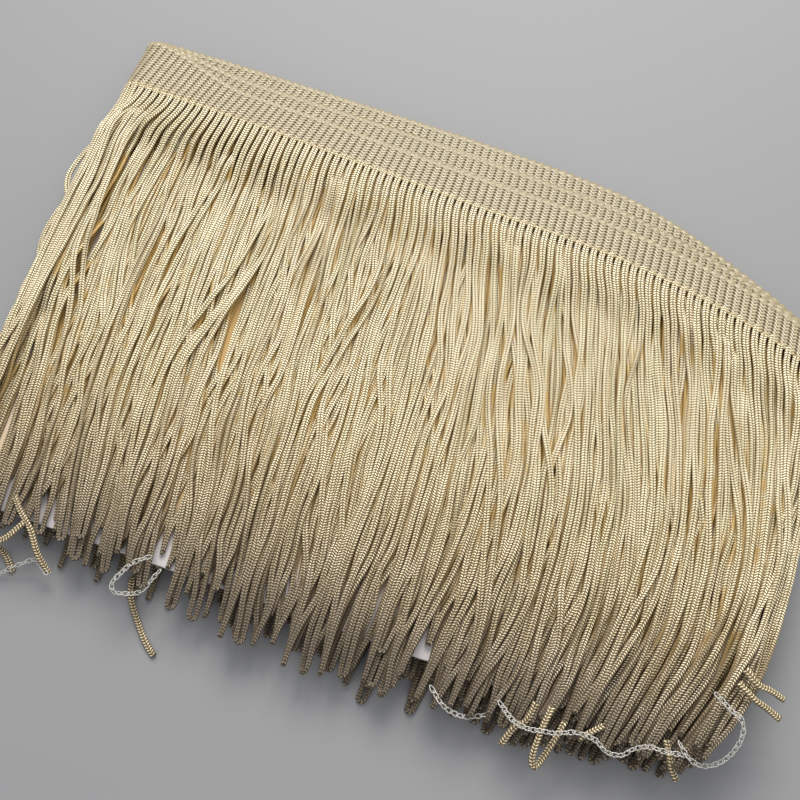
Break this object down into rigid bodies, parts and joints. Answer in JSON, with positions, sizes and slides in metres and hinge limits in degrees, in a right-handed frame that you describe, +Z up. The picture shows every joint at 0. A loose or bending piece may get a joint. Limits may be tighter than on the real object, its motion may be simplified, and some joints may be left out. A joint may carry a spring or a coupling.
{
  "type": "tassel fringe trim wound on a card",
  "caption": "Long chainette tassel fringe with a narrow knitted heading, wound flat in four loose turns around a thin card and lying on its back.",
  "frame": {"origin": "middle of the bundle's box, on the surface it lies on", "axes": "+X along the heading from its high end to its sagging end, +Y from the strand tips to the heading, +Z up through the front of the bundle"},
  "size_m": [0.231, 0.171, 0.0145],
  "materials": {
    "card": "matt white card, slightly soiled",
    "heading": "ivory knitted heading, ribbed, soft sheen",
    "strands": "ivory knitted chainette cord with a silky sheen"
  },
  "bodies": {
    "root": {"card_core": "card", "heading_roll": "heading", "fringe_front_outer": "strands", "fringe_front_inner": "strands", "fringe_back_outer": "strands", "fringe_back_inner": "strands"}
  },
  "joints": []
}
